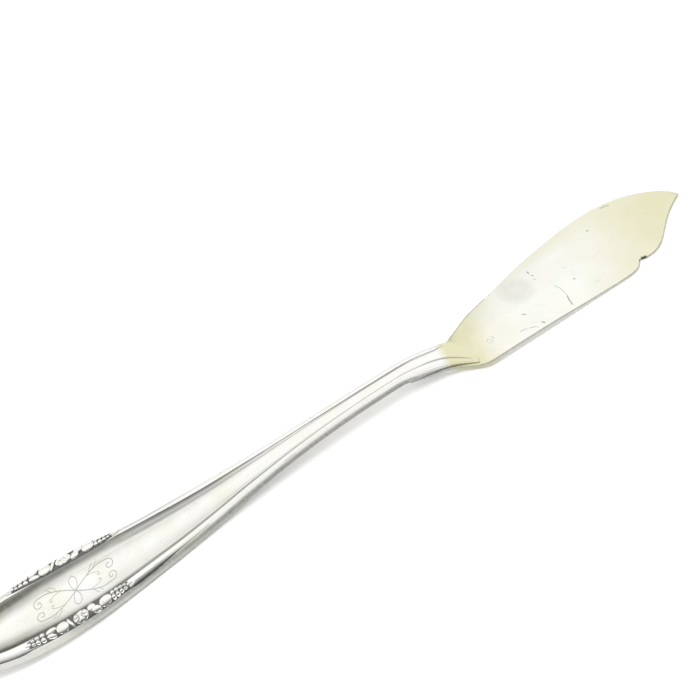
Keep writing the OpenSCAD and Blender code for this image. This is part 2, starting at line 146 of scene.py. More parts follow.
under_fall_shares = [
    [0, 0.95], [0.1, 0.85], [0.2, 0.7], [0.3, 0.54], [0.4, 0.37], [0.5, 0.23], [0.6, 0.12], [0.7, 0.04],
    [0.8, 0], [1, 0]]
lap_height_shares = [[0, 0.1], [0.1, 0.2], [0.3, 0.41], [0.5, 0.6], [0.7, 0.75], [0.88, 0.85], [1, 0.86]]
heel_sweep_shares = [
    [0, 0], [0.1, 0.08], [0.25, 0.2], [0.4, 0.28], [0.52, 0.37], [0.64, 0.5], [0.76, 0.7], [0.88, 0.89],
    [0.96, 0.985], [1, 1]]
spine_rim_root_shares = [
    [0, 1], [0.2, 1.4], [0.31, 1.6], [0.47, 1.72], [0.58, 1.68], [0.7, 1.3], [0.84, 0.85], [1, 0.3]]
edge_rim_root_shares = [[0, 1], [0.3, 0.87], [0.5, 0.75], [0.6, 0.4], [1, 0.1]]
rim_root_height_shares = [[0, 0.6], [0.3, 0.62], [0.6, 0.5], [0.8, 0.3], [1, 0.2]]
tongue_w_shares = [[0, 3], [0.5, 1.5], [0.62, 1.02], [0.72, 0.85], [0.8, 0.66], [0.88, 0.42], [1, 0.1]]
edge_shares = [
    [0, 0], [0.055, 0.11], [0.11, 0.26], [0.17, 0.39], [0.26, 0.5], [0.385, 0.625], [0.51, 0.76],
    [0.615, 0.845], [0.77, 0.935], [0.89, 0.985], [1, 1]]
point_shares = [
    [0, 1], [0.2, 0.96], [0.4, 0.86], [0.6, 0.69], [0.715, 0.55], [0.83, 0.385], [0.93, 0.2], [1, 0]]
notch_curve_shares = [[0, 0], [0.435, 0.05], [0.725, 0.22], [0.9, 0.55], [1, 1]]
back_shares = [
    [0, 0], [0.09, -0.045], [0.18, -0.055], [0.285, -0.035], [0.36, 0.01], [0.44, 0.1], [0.5, 0.22],
    [0.61, 0.46], [0.7, 0.63], [0.785, 0.765], [0.87, 0.86], [1, 1]]
spine_thick_shares = [[0, 1], [0.25, 0.99], [0.42, 0.8], [0.55, 0.4], [0.7, 0.12], [1, 0]]
edge_thick_shares = [[0, 0.85], [0.07, 0.6], [0.17, 0.33], [0.26, 0.17], [0.4, 0.03], [0.5, 0], [1, 0]]

# Sections: a rim from its outer foot to the groove, softer than the CAD's, and the base from the foot of a
# rim to the middle of the underside
round_section_shares = [[round(math.cos(a), 3), round(math.sin(a), 3)] for a in np.radians(range(0, 90, 10))]
round_section_shares += [[0.05, 0.98], [0, 0.86]]
boxy_section_shares = [
    [1, 0], [1, 0.6], [0.995, 0.8], [0.97, 0.93], [0.9, 0.985], [0.6, 1.0], [0.3, 1.0], [0.06, 0.97],
    [0, 0.86]]
flat_section_shares = [
    [1, 0], [1, 0.4], [0.985, 0.55], [0.93, 0.7], [0.78, 0.84], [0.5, 0.96], [0.2, 1], [0.06, 0.98],
    [0, 0.88]]
round_base_shares = [[1, 1, 0], [0.985, 0.55, 0], [0.93, 0.25, 0], [0.8, 0.07, 0], [0.55, 0, 0], [0, 0, 0]]
full_base_shares = [[1, 1, 0], [1, 0.55, 0.6], [1, 0.14, 1], [0.99, 0.035, 0.7], [0.94, 0, 0], [0, 0, 0]]

# How finely the forms are cut
RING_STEP = 0.3
FINE_STEP = 0.08
END_RINGS = 36
PANEL_CELLS = 120
BASE_POINTS = 26
RIM_POINTS = 26
COVE_POINTS = 22
BORDER_RINGS = 620
BORDER_CELLS = 52
TANG_STEP = 0.2
BLADE_STEP = 0.12
TIP_STEP = 0.06
FACE_CELLS = 150
ARC_CELLS = 8
EASE_STEPS = 13
EASE_REACH, BLADE_EASE_REACH, BORDER_EASE_REACH, LAND_EASE_REACH = 3.0, 2.0, 1.2, 1.0
SHARP_ANGLE = math.radians(38)

# Share tables of worn forms, of tarnish and painted shade in the coves, and of painted shade on the flanks,
# that only the eye needs: along the handle, up a flank, down a cove
seam_drop_shares = [[0, 0.3], [0.35, 0.3], [0.5, 0.1], [0.6, 0], [1, 0]]
soft_cove_shares = [
    [0, 0.3], [0.04, 0.85], [0.07, 1], [0.35, 1], [0.48, 0.8], [0.63, 0.52], [0.7, 0.36], [0.77, 0.2],
    [0.85, 0.06], [0.92, 0], [1, 0]]
recess_shares = [
    [0, 0.3], [0.08, 0.65], [0.18, 0.87], [0.3, 0.9], [0.4, 0.78], [0.5, 0.62], [0.6, 0.46], [0.7, 0.32],
    [0.85, 0.2], [1, 0.13]]
wide_recess_shares = [
    [0, 0.3], [0.08, 0.7], [0.2, 0.95], [0.45, 1], [0.6, 0.85], [0.75, 0.7], [0.9, 0.58], [1, 0.5]]
double_recess_shares = [
    [0, 0.3], [0.1, 0.5], [0.28, 0.35], [0.42, 0.8], [0.55, 1], [0.68, 0.7], [0.85, 0.3], [1, 0.13]]
recess_strength_shares = [
    [0, 1], [0.22, 1], [0.28, 0.92], [0.4, 0.8], [0.55, 0.68], [0.7, 0.6], [0.85, 0.5], [1.03, 0.5],
    [1.07, 0.95], [1.12, 0.95]]
far_margin_shares = [
    [0, 0.5], [0.21, 0.5], [0.27, 0.3], [0.32, 0.15], [0.39, 0.3], [0.5, 0.3], [0.62, 0.15], [1, 0.13]]
near_margin_shares = [
    [0, 0.55], [0.2, 0.55], [0.25, 0.4], [0.31, 0.13], [0.42, 0.2], [0.6, 0.45], [0.75, 0.6], [1, 0.6]]
margin_w_shares = [[0, 2.4], [0.28, 2.4], [0.38, 3.4], [0.5, 3.2], [0.6, 1.8], [0.75, 0.4], [1, 0.3]]
end_flank_shares = [[0, 1], [0.3, 1], [0.7, 1], [0.8, 0.6], [1, 0.1]]
mid_flank_shares = [
    [0, 0.95], [0.1, 0.88], [0.28, 0.7], [0.45, 0.88], [0.62, 1], [0.76, 0.88], [0.9, 0.5], [1, 0.1]]
shank_flank_shares = [
    [0, 0.85], [0.12, 0.76], [0.28, 0.86], [0.42, 1], [0.55, 0.98], [0.7, 0.85], [0.86, 0.58], [0.95, 0.3],
    [1, 0.1]]
flank_strength_shares = [[0, 0.52], [0.26, 0.52], [0.34, 0.88], [0.5, 1], [1, 1]]

# Sizes that only the eye needs.  A pair of places is where a change starts and where it is complete
soft_cove_w = 2.5  # the cove as it looks, with its long run-out on to the panel
cove_power = 2.3  # how hollow a cove is
panel_dish = 0.2  # how far the panel sinks at its middle
dish_x = (2, 14)
boxy_along = (0.45, 0.62)  # the rims turn from round to boxy
narrow_recess_along = (0.2, 0.34)  # the tarnish and painted shade in the coves grow narrower
double_recess_x = (50, 62)  # and parts into two lines
recess_end_x = (tongue_end_x - 0.5, tongue_end_x - 3)
mid_flank_along = (0.26, 0.36)  # the end's look of the flank turns into the middle's
shank_flank_along = (0.46, 0.62)  # and that into the shank's
flank_end_x = (tongue_end_x + 2, tongue_end_x - 1.5)
underside_share = 0.06  # height up to which the base is bright
border_out_share = 0.52  # how far out on the rim the border's ends lie
rim_top_range = (0.03, 0.96)  # the part of the rim's section under the border
bead_room = 1.25  # how long the beads keep their size where the border narrows
rubbed_reach = (13.2, 14.2)  # from the border's middle to where its ground is bright
skin_t = 0.012  # the gilt face stands above the tongue that it covers
skin_under_t = 0.3  # and lies below it before it comes up
tongue_sink_t = 0.1  # the covered tongue sinks out of sight
land_turn_l = 4  # the land comes back from the cover's border
level_most = 0.9  # the most of the face's breadth that is level
blade_corner_w = 0.14
edge_corner_w = 0.1
corner_share, land_corner_share = 0.3, 0.2  # the most of the wall and the land that a corner takes
wall_foot_share = 0.3  # how much painted shade the foot of the blade's wall has, against its top
tang_foot_share = 0.85  # the same where the tang leaves the shank
belly_x = (handle_l + 2, tang_x)  # the shank's round belly carries on under the tang
belly_reach = 1.0
belly_rise_share, edge_belly_share = 0.92, 0.85
notch_shadow_x = (notch_x + 0.3, notch_x + 0.6)  # painted shadow on the notch's wall, at the foot of the notch
notch_shadow_end_x = (notch_x + 2.0, notch_x + 1.5)
cut_w = 0.19  # an engraved line's width and depth
cut_t = 0.025
flourish_x = 41.5  # the engraved flourish's middle
flourish_reach = 11.5


# Plain helpers
def mix(a, b, t):
    return a + (b - a) * t


def part_of(x, low, high):
    return np.clip((x - low) / (high - low), 0, 1)


def smooth(t):
    return t**2 * (3 - 2 * t)


def curve(table, x):
    """A smooth curve through a table of (place, value) pairs that never overshoots it."""
    places, values = np.array(table, float).T
    rises = np.diff(values) / np.diff(places)
    before, after = rises[:-1], rises[1:]
    agree = before * after > 0
    inner = np.where(agree, 2 * before * after / np.where(agree, before + after, 1), 0)
    slopes = np.concatenate([rises[:1], inner, rises[-1:]])
    i = np.clip(np.searchsorted(places, x, side="right") - 1, 0, len(places) - 2)
    w = places[i + 1] - places[i]
    t = np.clip((x - places[i]) / w, 0, 1)
    return ((2 * t**3 - 3 * t**2 + 1) * values[i] + (t**3 - 2 * t**2 + t) * w * slopes[i]
            + (3 * t**2 - 2 * t**3) * values[i + 1] + (t**3 - t**2) * w * slopes[i + 1])


def outline(points, count):
    """A smooth line through a few points, as a number of points evenly spaced along it."""
    points = np.array(points, float)
    steps = np.linalg.norm(np.diff(points, axis=0), axis=1)
    places = np.concatenate([[0], np.cumsum(steps)]) / steps.sum()
    wanted = np.linspace(0, 1, count)
    return np.stack([curve(np.stack([places, column], 1), wanted) for column in points.T], 1)


def eased(profile, x, reach, corners):
    """A profile averaged over a short stretch, which shrinks to nothing at the corners to keep them sharp."""
    width = np.minimum(reach, np.min([np.abs(x - c) for c in corners], axis=0))
    steps = np.linspace(-1, 1, EASE_STEPS)
    weights = np.cos(steps * math.pi / 2) ** 2
    return sum(w * profile(x + s * width) for s, w in zip(steps, weights)) / weights.sum()


def on_handle(profile):
    """The profile, eased along the handle and the root."""
    return lambda x: eased(profile, x, EASE_REACH, (0, tongue_end_x))


def on_side(profile, side):
    """The profile of one side, eased the same way."""
    return on_handle(lambda x: profile(x, side))


# Shares and heights along the knife, the same as the CAD's
def along(x):
    return x / neck_x


def root(x):
    return (x - neck_x) / root_l


def end_rounding(x):
    rounded = end_flat_share + (1 - end_flat_share) * np.sqrt(np.clip(1 - (1 - x / end_round_l) ** 2, 0, 1))
    return np.where(x >= end_round_l, 1, rounded)


def thick(x):
    return np.where(x > neck_x, mix(neck_t, spine_t, root(x)),
                    mix(neck_t, handle_t, curve(thick_shares, along(x))))


def under_z(x):
    shank = (arch_h * curve(arch_shares, along(x)) + end_rise * curve(rise_shares, along(x))
             + end_soft_t * (1 - end_rounding(x)))
    return np.where(x >= heel_x, 0, np.where(x > neck_x, arch_h * curve(under_fall_shares, root(x)), shank))


def crest_z(x):
    return np.where(x > neck_x, thick(x) + arch_h * curve(crest_fall_shares, root(x)),
                    under_z(x) + thick(x) - 2 * end_soft_t * (1 - end_rounding(x)))


def panel_drop(x):
    return np.where(x > neck_x, neck_groove * (1 - np.clip(root(x), 0, 1)),
                    mix(neck_groove, panel_depth, curve(sunk_shares, along(x))))


def lap_z(x):
    return mix(under_z(x), crest_z(x), curve(lap_height_shares, root(x)))


def rim_rise(x):
    return np.where(x > neck_x, rim_h * curve(rim_root_height_shares, root(x)),
                    mix(ornament_rim_h, rim_h, curve(rim_height_shares, along(x))))


def over_lap(x, z):
    return np.where(x > lap_x, np.maximum(lap_z(x) + solder_t + feather_t, z), z)


def panel_z(x):
    return over_lap(x, crest_z(x) - panel_drop(x))


def fade(x, side):
    return part_of(x, rim_fade_x, rim_end_x) if side == EDGE else 0 * x


def seat_z(x, side):
    return mix(over_lap(x, crest_z(x) - rim_rise(x)), panel_z(x) - feather_t, fade(x, side))


def seam_z(x, side):
    """Height of the seam between a rim and the body, which the polish has drawn down the flank."""
    lower = curve(seam_drop_shares, along(x))
    return mix(seat_z(x, side), np.minimum(under_z(x), seat_z(x, side)), np.where(x > neck_x, 0, lower))


def top_z(x, side):
    """Height of a rim's top, which comes down to the panel where the rim dies out."""
    ending = fade(x, side) if side == EDGE else part_of(x, rim_end_x, tongue_end_x) ** 2
    return mix(crest_z(x), panel_z(x), ending)


# Reaches from the axis, each a positive length on its own side, the same as the CAD's
def half_w(x):
    return mix(neck_w / 2, handle_w / 2 - base_flare, curve(swell_shares, along(x))) * end_rounding(x)


def spine_y(x):
    return mix(neck_w / 2, spine_reach, curve(heel_sweep_shares, root(x)))


def shoulder_y(x):
    return mix(neck_w / 2, shoulder_reach, part_of(x, neck_x, handle_l))


def rim_breadth(x, side):
    root_shares = spine_rim_root_shares if side == SPINE else edge_rim_root_shares
    return np.where(x > neck_x, neck_rim_w * curve(root_shares, root(x)),
                    mix(neck_rim_w, rim_w, curve(rim_shares, along(x))))


def outer_y(x, side):
    if side == SPINE:
        reach = spine_y(x) - ledge_w * root(x)
    else:
        reach = np.minimum(shoulder_y(x), curve(tongue_w_shares, root(x)) * neck_w - foot_y(x, SPINE))
    return np.where(x > neck_x, reach, half_w(x))


def groove_y(x, side):
    least = np.where(x > neck_x, -spine_reach, mitre_gap + feather_w)
    return np.maximum(outer_y(x, side) - rim_breadth(x, side), least)


def foot_y(x, side):
    cove = np.where(x > neck_x, neck_cove_w, mix(neck_cove_w, cove_w, curve(sunk_shares, along(x))))
    foot = np.maximum(groove_y(x, side) - cove, np.where(x > neck_x, -spine_reach, mitre_gap))
    return np.where((x > rim_end_x) & (side == EDGE), outer_y(x, side) - feather_w, foot)


def soft_foot_y(x, side):
    """Reach of a cove's foot as it looks: the polish has run the cove out on to the panel."""
    width = mix(neck_cove_w, soft_cove_w, curve(soft_cove_shares, along(x)))
    return np.where(x > neck_x, foot_y(x, side), np.maximum(groove_y(x, side) - width, mitre_gap))


def way(side):
    return 1 if side == EDGE else -1


# Marks that are engraved or scratched: strokes, each a line of points with a width and a strength
def near_stroke(places, stroke, width):
    """How near each place lies to a stroke: 1 on its line, falling to 0 at its width."""
    best = np.full(len(places), np.inf)
    for a, b in zip(stroke[:-1], stroke[1:]):
        step = b - a
        t = np.clip((places - a) @ step / max(step @ step, 1e-9), 0, 1)
        best = np.minimum(best, np.linalg.norm(places - a - t[:, None] * step, axis=1))
    return np.clip(1 - best / width, 0, 1)


def marks_on(x, y, strokes):
    """The strongest mark at each place of a grid."""
    places = np.stack(np.broadcast_arrays(x, y), -1).reshape(-1, 2)
    found = np.zeros(len(places))
    for points, width, strength in strokes:
        points = np.array(points, float)
        near = np.all((places > points.min(0) - width) & (places < points.max(0) + width), axis=1)
        found[near] = np.maximum(found[near], strength * near_stroke(places[near], points, width))
    return found.reshape(y.shape)


def volute(centre, start, turns, size, turn_way, wound=0.85, count=40):
    """A scroll that winds inwards about its centre."""
    t = np.linspace(0, 1, count)
    angle = start + turn_way * t * turns * 2 * math.pi
    reach = size * (1 - wound * t)
    return np.stack([centre[0] + reach * np.cos(angle), centre[1] + reach * np.sin(angle)], 1)


def flourish():
    """An engraved flourish: four mirrored sweeps that end in scrolls, with tendrils, leaves and a drop."""
    quarter = [
        (outline([[0.0, 0.0], [2.2, 1.3], [4.8, 2.5], [7.2, 3.05], [9.3, 2.9]], 40), 1.0),
        (volute((9.3, 1.5), math.pi / 2, 1.15, 1.4, -1), 0.9),
        (outline([[3.4, 1.9], [5.0, 1.75], [6.3, 1.25]], 16), 0.7),
        (volute((6.2, 0.75), 1.3, 0.9, 0.5, -1), 0.7),
        (outline([[0.0, 0.0], [0.85, 1.5], [0.95, 2.8], [0.0, 3.9]], 20), 0.75),
        (outline([[4.2, 2.3], [4.9, 3.4], [6.0, 4.1], [7.1, 4.3]], 16), 0.65),
        (outline([[7.1, 4.3], [6.2, 3.5], [5.5, 2.75]], 12), 0.6),
    ]
    return [(line * ways + [flourish_x, 0], cut_w, strength)
            for ways in ([1, 1], [1, -1], [-1, 1], [-1, -1]) for line, strength in quarter]


# Meshes
def add_object(name, data):
    thing = bpy.data.objects.new(name, data)
    bpy.context.collection.objects.link(thing)
    return thing


def to_frame(points):
    """Drawing millimetres to the frame's metres."""
    return (points - [knife_l / 2, middle_y, 0]) * MM


def loft(name, rings, **shades):
    """Joins rings of points, counter-clockwise seen from the tip, into a closed mesh with a fan at each end.
    shades are numbers from 0 to 1 for each point, which its material reads."""
    count, size = rings.shape[:2]
    middles = [(ring.min(0) + ring.max(0)) / 2 for ring in (rings[0], rings[-1])]
    points = np.concatenate([rings.reshape(-1, 3), middles])
    here = np.arange(count * size).reshape(count, size)
    after = np.roll(here, -1, axis=1)
    faces = np.stack([here[:-1], after[:-1], after[1:], here[1:]], -1).reshape(-1, 4).tolist()
    faces += [(count * size, b, a) for a, b in zip(here[0].tolist(), after[0].tolist())]
    faces += [(count * size + 1, a, b) for a, b in zip(here[-1].tolist(), after[-1].tolist())]
    mesh = bpy.data.meshes.new(name)
    mesh.from_pydata(to_frame(points).tolist(), [], faces)
    for shade, values in shades.items():
        layer = mesh.attributes.new(shade, "FLOAT", "POINT")
        layer.data.foreach_set("value", np.append(values, [0, 0]).astype(np.float32))
    mesh.shade_smooth()
    mesh.set_sharp_from_angle(angle=SHARP_ANGLE)
    return add_object(name, mesh)


def dress(piece, node, material):
    """Puts a finished piece in the place of its CAD node."""
    piece.data.materials.append(material)
    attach(piece, "root")
    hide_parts(node)


def loft_side(name, side, rings, **shades):
    """A loft on one side of the axis: the spine side's is mirrored, so its rings turn round."""
    rings[..., 1] *= way(side)
    if side == SPINE:
        rings = rings[:, ::-1]
        shades = {shade: values[:, ::-1] for shade, values in shades.items()}
    return loft(name, rings, **shades)


def handle_stations(start, stop):
    """Places of the rings on the handle, as a column: close together at its end and under the flourish."""
    end = end_round_l * (1 - np.cos(np.linspace(0, math.pi / 2, END_RINGS)))
    low, high = flourish_x - flourish_reach, flourish_x + flourish_reach
    places = np.concatenate([end[:-1], np.arange(end_round_l, low, RING_STEP),
                             np.arange(low, high, FINE_STEP), np.arange(high, tongue_end_x, RING_STEP)])
    inner = places[(places > start + FINE_STEP) & (places < stop - FINE_STEP)]
    return np.concatenate([[start], inner, [stop]])[:, None]


def join(*parts):
    """Parts of the rings, side by side, as whole rings."""
    return np.concatenate(parts, axis=1)


def strip(x, y, z):
    """Points of part of each ring, from a column of places and the reaches and heights at each."""
    return np.stack(np.broadcast_arrays(x, y, z), -1)


def painted_flank_shade(x, z):
    """How much painted shade a flank has at its heights, for the shadowed table and dark room that it
    mirrors: darkest in a band along its middle.
    """
    low, high = on_handle(under_z)(x), on_handle(crest_z)(x)
    end, middle, shank = (curve(table, (z - low) / (high - low)) for table in (
        end_flank_shares, mid_flank_shares, shank_flank_shares))
    dullness_and_shade = mix(end, middle, part_of(along(x), *mid_flank_along))
    dullness_and_shade = mix(dullness_and_shade, shank, part_of(along(x), *shank_flank_along))
    return dullness_and_shade * (curve(flank_strength_shares, along(x)) * part_of(x, *flank_end_x))


def recess_strength(x):
    return curve(recess_strength_shares, along(x)) * part_of(x, *recess_end_x)


# Handle blank
def handle_blank():
    outer, foot, seat = ({side: on_side(profile, side) for side in (EDGE, SPINE)}
                         for profile in (outer_y, soft_foot_y, seam_z))
    low, panel = on_handle(under_z), on_handle(panel_z)

    def base(x, side):
        full = curve(base_full_shares, along(x)) * end_rounding(x)
        ends = (outline(shares, BASE_POINTS) for shares in (round_base_shares, full_base_shares))
        p = mix(*ends, full[..., None])
        y = way(side) * (outer[side](x) * p[..., 0] + base_flare * full * p[..., 2])
        return strip(x, y, mix(low(x), seat[side](x), p[..., 1]))

    def over_shank(x):
        return join(base(x, SPINE), base(x, EDGE)[:, -2::-1])

    def over_tang(x):
        back, high = -outer[SPINE](x), outer[EDGE](x)
        y = mix(back, high, np.linspace(0, 1, 2 * BASE_POINTS - 3))
        return join(strip(x, back, seat[SPINE](x)), strip(x, y, on_handle(lap_z)(x) + solder_t),
                    strip(x, high, seat[EDGE](x)))

    def face(x):
        across = np.linspace(1, -1, PANEL_CELLS + 1)
        high, back = foot[EDGE](x), foot[SPINE](x)
        y = mix(-back, high, (across + 1) / 2)
        dish = panel_dish * curve(sunk_shares, along(x)) * part_of(x, *dish_x)
        sunk = tongue_sink_t * part_of(x, cover_end_x, cover_end_x + 1)
        cut = marks_on(x, y, flourish())
        z = panel(x) - dish * (1 - across**2) ** 2 - sunk - cut_t * np.sqrt(cut)
        # Tarnish with painted shade along the panel's margins beside the coves
        margin, far, near = (curve(table, along(x)) for table in (
            margin_w_shares, far_margin_shares, near_margin_shares))
        recess = (far * np.clip(1 - (high - y) / margin, 0, 1) ** 2
                  + near * np.clip(1 - (back + y) / margin, 0, 1) ** 2) * recess_strength(x)
        return strip(x, y, z), cut, recess

    shank, lapped = handle_stations(0, lap_x), handle_stations(tang_x, tongue_end_x)
    x = np.concatenate([shank, lapped])
    top, cut, recess = face(x)
    below = np.concatenate([over_shank(shank), over_tang(lapped)])
    none = np.zeros(below.shape[:2])
    # Painted shade on the base's flank, none on the underside
    height = (below[..., 2] - low(x)) / (seat[SPINE](x) - low(x))
    flank = painted_flank_shade(x, below[..., 2]) * part_of(height, 0, underside_share)
    piece = loft("handle_body", join(below, top), cut=join(none, cut), recess=join(none, recess),
                 flank=join(flank, 0 * cut))
    dress(piece, "handle_blank", SILVER)


# Rims
def flatness(x):
    return np.clip((border_l / 2 - np.abs(x - border_x)) / (border_l * flat_run_share), 0, 1)


def section(x):
    """The rim's section at each place: round at first, flat under the ornament, boxy on the shank."""
    flat = eased(flatness, x, BORDER_EASE_REACH, (0, tongue_end_x))[..., None]
    boxy = smooth(part_of(along(x), *boxy_along))[..., None]
    round_ring, boxy_ring, flat_ring = (outline(shares, RIM_POINTS) for shares in (
        round_section_shares, boxy_section_shares, flat_section_shares))
    return mix(mix(round_ring, boxy_ring, boxy), flat_ring, flat)


def rim(name, node, side):
    x = handle_stations(0, tongue_end_x if side == SPINE else rim_end_x)
    inner, outer, low, high, foot = (on_side(profile, side)(x) for profile in (
        groove_y, outer_y, seam_z, top_z, soft_foot_y))
    floor, shape = on_handle(panel_z)(x), section(x)
    y, z = mix(inner, outer, shape[..., 0]), mix(low, high, shape[..., 1])
    t = np.linspace(0, 1, COVE_POINTS + 2)[1:-1]
    cove = strip(x, mix(inner, foot, t), mix(floor, z[:, -1:], (1 - t) ** cove_power))
    rings = join(strip(x, foot, floor), strip(x, y, z), cove)
    flank, recess = np.zeros(rings.shape[:2]), np.zeros(rings.shape[:2])
    # Painted shade down the outer half of the rim, by height
    flank[:, 1:1 + RIM_POINTS] = np.where(shape[..., 0] > 0.5, painted_flank_shade(x, z), 0)
    # Tarnish with painted shade at the cove's foot and down the cove
    margin_shares = far_margin_shares if side == EDGE else near_margin_shares
    recess[:, :1] = curve(margin_shares, along(x)) * recess_strength(x)
    wide, narrow, double = (curve(table, t) for table in (
        wide_recess_shares, recess_shares, double_recess_shares))
    single = mix(wide, narrow, part_of(along(x), *narrow_recess_along))
    recess[:, 1 + RIM_POINTS:] = mix(single, double, part_of(x, *double_recess_x)) * recess_strength(x)
    piece = loft_side(name, side, rings, flank=flank, recess=recess)
    dress(piece, node, RIM_SILVER)


# Bead borders: each bead's distance from the border's middle, share across, reaches along and across, height
# as a share of the largest, and turn.  A pair is mirrored about the middle line
BEADS = [
    (-2.3, 0, 1.5, 0.42, 0.8, 1.15), (-4.4, 0, 1.6, 1.42, 1), (-7.2, -0.45, 1.4, 0.75, 0.9, -0.15),
    (-7.4, 0.5, 1.2, 0.62, 0.85, 0.25), (-13.05, 0, 0.48, 0.8, 0.7), (-13.9, 0, 0.36, 0.55, 0.6),
    (3.5, -0.35, 1.15, 0.95, 0.95, 0.5), (4.5, 0.4, 1.2, 0.9, 0.95, 0.5), (7.1, 0, 1.65, 1.42, 1),
    (13.3, 0, 0.4, 0.7, 0.7), (14, 0, 0.3, 0.5, 0.6),
]
BEAD_PAIRS = [
    (-9.45, 0.5, 0.66, 0.7, 0.95), (-10.8, 0.48, 0.62, 0.66, 0.9), (-12.0, 0.45, 0.54, 0.56, 0.8),
    (9.25, 0.48, 0.52, 0.7, 0.9), (10.35, 0.5, 0.58, 0.66, 0.95), (11.45, 0.48, 0.54, 0.6, 0.9),
    (12.45, 0.45, 0.46, 0.5, 0.8),
]
PITS = [(1.45, 0.3), (-0.45, -0.3), (1.0, -0.5), (0.0, 0.5), (6.6, 0.25), (-5.1, 0.2)]
pit_reach, pit_depth = 0.17, 0.2
rosette_s, rosette_reach, rosette_half, petal_stretch, petals = 0.5, 2.0, 1.4, 1.7, 8


def dome(s, q, place, across, reach, half, height, turn=0.0):
    """Height of a bead at distances s from the border's middle and shares q across it."""
    a, b = s - place, (q - across) * half_border
    c, d = math.cos(turn), math.sin(turn)
    r = 1 - ((a * c + b * d) / reach) ** 2 - ((b * c - a * d) / half) ** 2
    return height * np.sqrt(np.clip(r, 0, 1))


def rosette(s, q):
    """An oval flower with a boss."""
    s, across = s - rosette_s, q * half_border
    away = np.hypot(s / rosette_reach, across / rosette_half)
    waves = 0.86 + 0.14 * np.cos(petals * np.arctan2(across, s / petal_stretch))
    return np.maximum(np.clip(1 - away**4, 0, 1) ** 0.5 * waves, dome(s, q, 0, 0, 0.55, 0.5, 1.0))


def ornament_rise(s, q):
    """Height of the whole ornament: a rosette, ribbons, large beads, leaves, and pairs that grow smaller."""
    parts = [rosette(s, q)] + [dome(s, q, *bead) for bead in BEADS]
    for place, across, *shape in BEAD_PAIRS:
        parts += [dome(s, q, place, across, *shape), dome(s, q, place, -across, *shape)]
    height = np.max(parts, axis=0)
    for place, across in PITS:
        height = height - pit_depth * dome(s, q, place, across, pit_reach, pit_reach, 1.0)
    return np.clip(height, 0, 1)


def bead_border(name, node, side):
    reach = border_l / 2
    x = border_x + reach * np.linspace(-1, 1, BORDER_RINGS)[:, None]
    inner, outer, low, high = (on_side(profile, side)(x) for profile in (groove_y, outer_y, seam_z, top_z))
    lens = np.sqrt(np.clip(1 - (np.abs(x - border_x) / reach) ** border_bow_share, 0, 1))
    half = np.maximum(half_border * lens, feather_w)
    q = np.linspace(-1, 1, BORDER_CELLS + 1)
    y = mix(inner, outer, mix(border_out_share, 0.5, flatness(x))) + q * half
    places, sections = np.clip((y - inner) / (outer - inner), *rim_top_range), section(x)[:, ::-1]
    heights = np.array([np.interp(row, ring[:, 0], ring[:, 1]) for row, ring in zip(places, sections)])
    ground = mix(low, high, heights) + border_seat
    rise = ornament_rise(x - border_x, q)
    room = np.minimum(1, half / half_border * bead_room)
    top = ground + border_ground_t + seen_bead_h * rise * room
    polish = np.maximum(rise, part_of(np.abs(x - border_x), *rubbed_reach))
    rings = join(strip(x, y, ground), strip(x, y[:, ::-1], top[:, ::-1]))
    piece = loft_side(name, side, rings, lift=join(0 * rise, polish[:, ::-1]))
    dress(piece, node, ORNAMENT)


# Blade
def blade_low_y(x):
    notch_y = notch_depth - spine_reach
    into_notch = mix(-spine_reach, notch_y, curve(notch_curve_shares, part_of(x, notch_start_x, notch_x)))
    back = mix(notch_y, tip_rise - tip_flat / 2, curve(back_shares, part_of(x, notch_x, knife_l)))
    return np.where(x < heel_x, -spine_y(x), np.where(x < notch_x, into_notch, back))


def blade_high_y(x):
    belly = mix(shoulder_reach, edge_reach, curve(edge_shares, part_of(x, handle_l, widest_x)))
    point = mix(tip_rise + tip_flat / 2, edge_reach, curve(point_shares, part_of(x, widest_x, knife_l)))
    return np.where(x < handle_l, shoulder_y(x), np.where(x < widest_x, belly, point))


def bare(x):
    beside = part_of(blade_high_y(x) - outer_y(x, EDGE) - joint_gap, 0, joint_run_w)
    return np.where(x > tongue_end_x, 1, beside)


def face_z(x):
    panel_end = panel_z(np.array([tongue_end_x]))[0]
    beyond = mix(panel_end, spine_t, part_of(x, tongue_end_x, heel_x))
    blade = mix(tip_t, spine_t, curve(spine_thick_shares, (x - handle_l) / blade_l))
    blade = np.where(x < heel_x, beyond, blade)
    return np.where(x <= tongue_end_x, mix(lap_z(x), panel_z(x), bare(x)), blade)


def edge_z(x):
    thin = curve(edge_thick_shares, (x - handle_l) / blade_l)
    return mix(min(edge_t, tip_t), face_z(x), mix(1, thin, bare(x)))


def land_y(x):
    low, high = blade_low_y(x), blade_high_y(x)
    narrow = low + np.minimum(spine_land, (high - low) * land_limit_share)
    wide = np.minimum(outer_y(np.minimum(x, tongue_end_x), EDGE) + joint_gap, high - feather_w)
    return mix(wide, narrow, part_of(x, tongue_end_x, tongue_end_x + land_run_share * blade_l))


